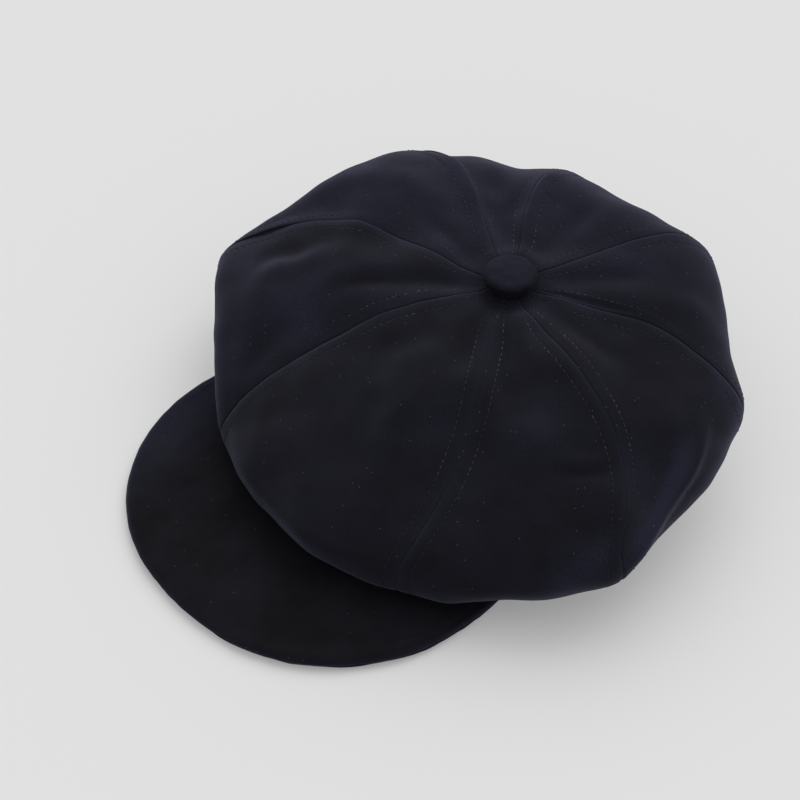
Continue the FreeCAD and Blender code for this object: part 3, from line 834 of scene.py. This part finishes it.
def make_lining(name):
    """A thin gore that follows the inside of the crown gore, a little slack between its seams."""
    smooth = gores[name]["inner"][::LINING_ROW_STEP, ::LINING_COLUMN_STEP]
    normals = grid_normals(smooth)
    away = seam_distances(smooth)
    slack = LINING_SLACK * waves(smooth, 22 * MM, seed=21) * ramp(0, 12 * MM, away)
    depth = LINING_DEPTH + np.maximum(0, slack) + LINING_SEAM * bump_at(0, 1.5 * MM, away)
    outer = smooth - normals * depth[..., None]
    inner = outer - normals * LINING_CLOTH
    lining = make_cloth(name + "_crown_lining", outer, inner, LINING)
    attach(lining, "cap")
    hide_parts(name + "_lining")


for lined_gore in PANELS:
    make_lining(lined_gore)


# ---------------- button

BUTTON_CLOTH = 0.8 * MM
BUTTON_GRID = 49
BUTTON_SAMPLES = 60
BUTTON_GATHERS = 26
GATHER_HEIGHT = 0.22 * MM
BUTTON_UNEVEN = 0.16 * MM
BUTTON_PALENESS = 0.95
# shares of the way out from the middle of the round of cloth
GATHERS_GROW = (0.62, 0.95)
BUTTON_PALE_ENDS = (0.45, 0.75)


def disc_grid(size):
    """(share of the radius, direction) over a square grid that is bent into a disc."""
    across, down = np.meshgrid(np.linspace(-1, 1, size), np.linspace(-1, 1, size))
    radius = np.maximum(abs(across), abs(down))
    wide = abs(across) >= abs(down)
    safe = np.maximum(radius, TINY)
    lean = np.where(wide, down * np.sign(across), across * np.sign(down)) / safe * math.pi / 4
    quarter = np.where(wide, np.where(across < 0, math.pi, 0),
                       np.where(down < 0, -math.pi / 2, math.pi / 2))
    turn = np.where(wide, quarter + lean, quarter - lean)
    return radius, turn


def make_button():
    """A round of cloth drawn down over the dome and gathered in under its rim."""
    tall = BUTTON_HIGH.z - BUTTON_LOW.z
    top = BUTTON_HIGH.z
    base = BUTTON_LOW.z
    poles = np.array([
        (0, top),   # level over the middle
        (0.42 * BUTTON_RADIUS, top),
        (0.86 * BUTTON_RADIUS, top - 0.10 * tall),   # down over the edge
        (1.04 * BUTTON_RADIUS, top - 0.42 * tall),
        (1.00 * BUTTON_RADIUS, base + 0.10 * tall),
        (0.88 * BUTTON_RADIUS, base),   # and in under the rim
        (0.72 * BUTTON_RADIUS, base + 0.06 * tall),
    ])
    profile = spline_weights(len(poles), BUTTON_SAMPLES) @ poles
    along = lengths_along(profile)
    share, turn = disc_grid(BUTTON_GRID)
    distance = share * along[-1]
    radius = np.interp(distance, along, profile[:, 0])
    rise = np.interp(distance, along, profile[:, 1])
    smooth = np.stack([radius * np.cos(turn), radius * np.sin(turn) + BUTTON_CENTRE.y, rise], axis=-1)
    normals = -grid_normals(smooth)
    gathers = GATHER_HEIGHT * np.sin(BUTTON_GATHERS * turn + 2 * waves(smooth, 9 * MM, seed=31))
    relief = gathers * ramp(*GATHERS_GROW, share) + BUTTON_UNEVEN * waves(smooth, 8 * MM, seed=32)
    outer = smooth + normals * relief[..., None]
    inner = outer - normals * BUTTON_CLOTH
    # The cloth is paler over the top of the button and darker towards its rim.
    wear_and_painted_light = BUTTON_PALENESS * (1 - ramp(*BUTTON_PALE_ENDS, share))
    cover = make_cloth("button_cloth", outer[::-1], inner[::-1], BUTTON_TWILL, wear_and_painted_light[::-1])
    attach(cover, "cap")
    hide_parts("button_cover")


make_button()


# ---------------- band and sweatband

BAND_COLUMNS = 360
BAND_EDGE_ROUND = 0.9 * MM
BAND_STITCH_RISE = 4 * MM
BAND_ROWS = 25
BAND_ROWS_EASED = 0.13
BAND_INSET = 0.25 * MM
BAND_STITCH_DENT = 0.25 * MM
BAND_SEAM_DENT = 0.7 * MM
BAND_RIPPLE = 0.22 * MM
BAND_WEAR = 0.7
STIFFENER_LOW, STIFFENER_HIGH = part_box("band_stiffener")
STIFFENER_CLEARANCE = 0.4 * MM
SWEATBAND_CLEARANCE = 0.1 * MM
# the band's cloth bulges out where the brim's root is sewn to it
BRIM_SEAM_BULGE = 0.6 * MM
BRIM_SEAM_HEIGHT = 2.2 * MM
BRIM_SEAM_RISE = (BRIM_LOW.z + BRIM_HIGH.z) / 2
BRIM_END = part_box("brim_top_cover")[1].y


def ring_grid(half_width, half_length, turns, rises):
    """Points of an upright oval wall: rows at the given heights, columns at the given turns."""
    wall = np.stack([half_width * np.cos(turns), half_length * np.sin(turns), np.zeros_like(turns)],
                    axis=-1)
    grid = np.repeat(wall[None], len(rises), axis=0)
    grid[..., 2] = rises[:, None]
    return grid


def band_rises(low, high):
    """Heights of a band's rows from top to bottom, closer together near its two edges."""
    share = np.linspace(0, 1, BAND_ROWS)
    eased = share - BAND_ROWS_EASED * np.sin(math.tau * share)
    return high + (low - high) * eased


def edge_round(rises, low, high):
    """How far a face curls in near a band's top and bottom edges."""
    from_edge = np.minimum(rises - low, high - rises)
    short = 1 - np.clip(from_edge / BAND_EDGE_ROUND, 0, 1)
    return BAND_EDGE_ROUND * (1 - np.sqrt(1 - short ** 2)) / 2


def make_band():
    """The outer band: cloth turned in at both edges, joined at the back, topstitched below."""
    turns = math.pi / 2 + np.linspace(0, math.tau, BAND_COLUMNS + 1)
    rises = band_rises(BAND_LOW.z, BAND_HIGH.z)
    smooth = ring_grid(BAND_HIGH.x, BAND_HIGH.y, turns, rises)
    normals = grid_normals(smooth)
    curl = edge_round(rises, BAND_LOW.z, BAND_HIGH.z)[:, None]
    back_seam = np.minimum(turns - turns[0], turns[-1] - turns) * BAND_HIGH.y
    stitch_dent = BAND_STITCH_DENT * bump_at(BAND_STITCH_RISE, 0.6 * MM, rises)[:, None]
    seam_dent = BAND_SEAM_DENT * bump_at(0, 1.0 * MM, back_seam)
    ripple = BAND_RIPPLE * waves(smooth, 13 * MM, seed=41, stretch=(1, 1, 0.3))
    beside_brim = ramp(BRIM_END, BRIM_END - 6 * MM, smooth[..., 1])
    at_brim = bump_at(BRIM_SEAM_RISE, BRIM_SEAM_HEIGHT, rises)[:, None] * beside_brim
    wall = BAND_HIGH.x - STIFFENER_HIGH.x - STIFFENER_CLEARANCE
    hem = BAND_HIGH.x - SWEAT_HIGH.x - SWEATBAND_CLEARANCE
    depth = np.where(rises < STIFFENER_LOW.z - 0.3 * MM, hem, wall)[:, None]
    relief = ripple - BAND_INSET - curl - stitch_dent - seam_dent
    sewn = smooth + normals * relief[..., None]
    relief = relief * (1 - at_brim) + BRIM_SEAM_BULGE * at_brim
    outer = smooth + normals * relief[..., None]
    inner = smooth - normals * (depth - curl)[..., None]
    wear_and_painted_light = np.broadcast_to(BAND_WEAR * bump_at(0, 1.2 * MM, rises)[:, None], ripple.shape)
    band = make_cloth("headband_cloth", outer, inner, NAVY_CLOTH, wear_and_painted_light)
    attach(band, "cap")
    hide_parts("headband")
    row = int(np.argmin(abs(rises - BAND_STITCH_RISE)))
    stitches = make_stitches("headband_stitches", [(sewn[row], grid_normals(sewn)[row])])
    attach(stitches, "cap")


RIBBON = 1.0 * MM
RIBBON_LEAN = 1.1 * MM
RIBBON_STITCH_DENT = 0.2 * MM
RIBBON_FREE = (0.4, 1.0)   # shares of its height over which it comes away from the band


def make_sweatband():
    """The twill ribbon against the head: its foot is stitched down, its top edge stands free."""
    turns = math.pi / 2 - np.linspace(0, math.tau, BAND_COLUMNS + 1)
    rises = band_rises(SWEAT_LOW.z, SWEAT_HIGH.z)
    smooth = ring_grid(SWEAT_HIGH.x - RIBBON, SWEAT_HIGH.y - RIBBON, turns, rises)
    normals = grid_normals(smooth)
    curl = edge_round(rises, SWEAT_LOW.z, SWEAT_HIGH.z)[:, None] * 0.8
    free = ramp(*RIBBON_FREE, (rises - SWEAT_LOW.z) / (SWEAT_HIGH.z - SWEAT_LOW.z))[:, None]
    lean = RIBBON_LEAN * free * (1 + 0.5 * waves(smooth, 34 * MM, seed=51, stretch=(1, 1, 0.2)))
    stitch_dent = RIBBON_STITCH_DENT * bump_at(BAND_STITCH_RISE, 0.6 * MM, rises)[:, None]
    facing = smooth + normals * (lean - curl - stitch_dent)[..., None]
    hidden = smooth + normals * (lean + curl - 0.8 * RIBBON)[..., None]
    sweatband = make_cloth("sweatband_ribbon", facing, hidden, SWEATBAND_CLOTH)
    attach(sweatband, "cap")
    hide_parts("sweatband")
    row = int(np.argmin(abs(rises - BAND_STITCH_RISE)))
    stitches = make_stitches("sweatband_stitches", [(facing[row], grid_normals(facing)[row])])
    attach(stitches, "cap")


make_band()
make_sweatband()


# ---------------- brim

# half width and half length of the oval that the brim's root is cut to
ROOT_OVAL = np.array([BAND_HIGH.x, BAND_HIGH.y]) + 1.5 * MM
ROOT_CLEARANCE = 1.02
BRIM_CLOTH = 0.9 * MM
BRIM_ROLL = 2.4 * MM
BRIM_ROOT_ROLL = 1.6 * MM
BRIM_END_ROUND = 1.0 * MM
BRIM_COLUMNS = 240
BRIM_ROWS = 34
BRIM_ROLL_ROWS = 8
BRIM_LAST_TURN = math.radians(89.6)
# the two covers stand apart by twice this where they are sewn together
HALF_SEAM_GAP = 0.05 * MM
TURNED_IN = 0.2 * MM
TURNED_IN_ENDS = (5 * MM, 6.5 * MM)
BRIM_BROAD_UNEVEN = 0.16 * MM
BRIM_FINE_UNEVEN = 0.06 * MM
BRIM_SEAM_DENT = 0.25 * MM
BRIM_INSET = 0.1 * MM
# Painted light on the brim: paler from half way out to its end on the wearer's right, the side the
# light comes from.
BRIM_PAINTED_LIGHT_STARTS = 0.5 * BRIM_LOW.x
BRIM_EDGE_WEAR = 0.6
BRIM_PAINTED_LIGHT = 1.1


def beyond_root(points):
    """True for points clear of the oval that the brim's root is cut to."""
    return ((points[:, :2] / ROOT_OVAL) ** 2).sum(axis=-1) > ROOT_CLEARANCE


def brim_edge():
    """The brim's free edge, from the wearer's right end round the tip to the left end."""
    corners = np.array([v.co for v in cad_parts["brim_top_cover"].data.vertices])
    on_top = corners[:, 2] > BRIM_HIGH.z - 0.01 * MM
    edge = corners[on_top & beyond_root(corners)]
    turns = np.arctan2(edge[:, 0], BRIM_END - edge[:, 1])
    distances = np.linalg.norm(edge[:, :2] - (0, BRIM_END), axis=-1)
    order = np.argsort(turns)
    spread = np.linspace(-1, 1, BRIM_COLUMNS)
    wanted = BRIM_LAST_TURN * (spread + np.sin(spread * math.pi / 2)) / 2
    reach = np.interp(wanted, turns[order], distances[order])
    return np.stack([reach * np.sin(wanted), BRIM_END - reach * np.cos(wanted)], axis=-1)


def brim_root(edge):
    """For each point of the edge, the root's point on the line to midway between the brim's ends."""
    half_width, half_length = ROOT_OVAL
    centre = np.array([0, BRIM_END])
    way = edge - centre
    way /= np.linalg.norm(way, axis=-1, keepdims=True)
    a = (way[:, 0] / half_width) ** 2 + (way[:, 1] / half_length) ** 2
    b = 2 * centre[1] * way[:, 1] / half_length ** 2
    c = (centre[1] / half_length) ** 2 - 1
    return centre + way * ((-b + np.sqrt(b * b - 4 * a * c)) / (2 * a))[:, None]


def brim_face(face_rise, seam_rise):
    """One face of the brim: up from the seam at its root, out to the edge and down to the seam."""
    edge = brim_edge()
    root = brim_root(edge)
    inward = root - edge
    depth = np.linalg.norm(inward, axis=-1, keepdims=True)
    inward /= depth
    folded_root = root + inward * BRIM_CLOTH
    edge_roll = inward * np.minimum(BRIM_ROLL, depth / 2)
    root_roll = -inward * np.minimum(BRIM_ROOT_ROLL, depth / 3)
    along = lengths_along(edge)
    to_end = np.minimum(along, along[-1] - along)
    rounding = np.sqrt(1 - (1 - np.clip(to_end / BRIM_END_ROUND, 0, 1)) ** 2)
    height = (face_rise - seam_rise) * rounding
    turn = np.linspace(0, math.pi / 2, BRIM_ROLL_ROWS + 1)[1:, None]
    share = np.linspace(0, 1, BRIM_ROWS)[:, None, None]
    face_start = folded_root + root_roll
    face = face_start + (edge + edge_roll - face_start) * share
    lifted = np.broadcast_to(height, face.shape[:2])
    at_root = folded_root + root_roll * (1 - np.sin(turn[::-1, :, None]))
    at_edge = edge + edge_roll * (1 - np.sin(turn[..., None]))
    rises = seam_rise + np.concatenate([height * np.cos(turn[::-1]), lifted, height * np.cos(turn)])
    return np.concatenate([np.concatenate([at_root, face, at_edge]), rises[..., None]], axis=-1)


def make_brim_cover(name, node, face_rise, side, seed):
    """A cloth cover over one face of the board. `side` is 1 above and -1 below."""
    smooth = brim_face(face_rise, BRIM_SEAM_RISE + side * HALF_SEAM_GAP)
    if side < 0:
        smooth = smooth[::-1]
    normals = grid_normals(smooth)
    edge = brim_edge()
    from_edge = np.linalg.norm(smooth[..., :2] - edge, axis=-1)
    turned_in = TURNED_IN * (1 - ramp(*TURNED_IN_ENDS, from_edge))
    uneven = (BRIM_BROAD_UNEVEN * waves(smooth, 26 * MM, seed=seed)
              + BRIM_FINE_UNEVEN * waves(smooth, 7 * MM, seed=seed + 1))
    seam_dent = BRIM_SEAM_DENT * (1 - ramp(0, 0.5 * MM, abs(smooth[..., 2] - BRIM_SEAM_RISE)))
    relief = turned_in + uneven - seam_dent - BRIM_INSET
    outer = smooth + normals * relief[..., None]
    inner = outer - normals * BRIM_CLOTH
    # Wear along the edge, and painted light towards the end on the wearer's right.
    painted_light_share = ramp(BRIM_PAINTED_LIGHT_STARTS, BRIM_LOW.x, smooth[..., 0])
    wear_and_painted_light = BRIM_EDGE_WEAR * bump_at(0, 1.6 * MM, from_edge) + BRIM_PAINTED_LIGHT * painted_light_share
    cover = make_cloth(name, outer, inner, NAVY_CLOTH, wear_and_painted_light)
    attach(cover, "brim")
    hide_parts(node)


make_brim_cover("brim_top_cloth", "brim_top_cover", BRIM_HIGH.z, side=1, seed=61)
make_brim_cover("brim_under_cloth", "brim_under_cover", BRIM_LOW.z, side=-1, seed=63)


# ---------------- pieces that keep their CAD shape

for kept_node, kept_material in (("band_stiffener", FELT), ("brim_board", BOARD_PLASTIC),
                                 ("button_shell", STEEL), ("button_back", STEEL)):
    kept_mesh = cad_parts[kept_node].data
    kept_mesh.materials.clear()
    kept_mesh.materials.append(kept_material)


# ---------------- stage and camera

FLOOR_SIZE = 6.0
FLOOR_LOOK = {
    "Base Color": (0.60, 0.60, 0.60, 1), "Roughness": 0.9, "Specular IOR Level": 0.1,
    "Emission Color": (1, 1, 1, 1), "Emission Strength": 0.22,
}
LIGHT_FROM = Vector((-0.30, 0.66, 0.69))
# strength of the sky away from the light, and where the light comes from
DIM_SIDE = 0.42
BRIGHT_SIDE = 0.92
KEY_STRENGTH = 1.0
KEY_WIDTH = math.radians(64)
CAMERA_AZIMUTH = 48.4
CAMERA_ELEVATION = 48.0
CAMERA_DISTANCE = 1.2
CAMERA_TARGET = Vector((-23.0, -14.2, 7.0)) * MM
CAMERA_LENS = 108.3
SENSOR_WIDTH = 36.0


def make_floor():
    """A plain pale floor, which glows a little so that it stays even away from the light."""
    half = FLOOR_SIZE / 2
    corners = np.array([(-half, -half, 0), (half, -half, 0), (half, half, 0), (-half, half, 0)])
    material, _, _ = new_material("studio_floor", FLOOR_LOOK)
    floor = make_piece("floor", corners, [[0, 1, 2, 3]], material)


def make_lights():
    """A sky that is brighter on the light's side, and one wide soft lamp from there."""
    world = bpy.data.worlds.new("studio")
    world.use_nodes = True
    tree = world.node_tree
    background = tree.nodes["Background"]
    background.inputs["Color"].default_value = (1, 1, 1, 1)
    direction = add_node(tree, "TexCoord").outputs["Generated"]
    facing = add_node(tree, "VectorMath", {0: direction, 1: LIGHT_FROM}, operation="DOT_PRODUCT")
    glow = remap(tree, facing.outputs["Value"], 0.0, 1.0, DIM_SIDE, BRIGHT_SIDE)
    tree.links.new(glow, background.inputs["Strength"])
    bpy.context.scene.world = world
    lamp = bpy.data.lights.new("soft_key", "SUN")
    lamp.energy = KEY_STRENGTH
    lamp.angle = KEY_WIDTH
    key = bpy.data.objects.new("soft_key", lamp)
    key.rotation_mode = "QUATERNION"
    key.rotation_quaternion = LIGHT_FROM.to_track_quat("Z", "Y")
    bpy.context.scene.collection.objects.link(key)


def make_camera():
    """The camera, turned round the cap and raised by its azimuth and elevation in degrees."""
    azimuth = math.radians(CAMERA_AZIMUTH)
    elevation = math.radians(CAMERA_ELEVATION)
    back = Vector((math.sin(azimuth) * math.cos(elevation),
                   -math.cos(azimuth) * math.cos(elevation), math.sin(elevation)))
    lens = bpy.data.cameras.new("camera")
    lens.lens = CAMERA_LENS
    lens.sensor_width = SENSOR_WIDTH
    camera = bpy.data.objects.new("camera", lens)
    camera.location = CAMERA_TARGET + back * CAMERA_DISTANCE
    camera.rotation_mode = "QUATERNION"
    camera.rotation_quaternion = back.to_track_quat("Z", "Y")
    bpy.context.scene.collection.objects.link(camera)
    bpy.context.scene.camera = camera


make_floor()
make_lights()
make_camera()
bpy.context.scene.view_settings.view_transform = "Standard"
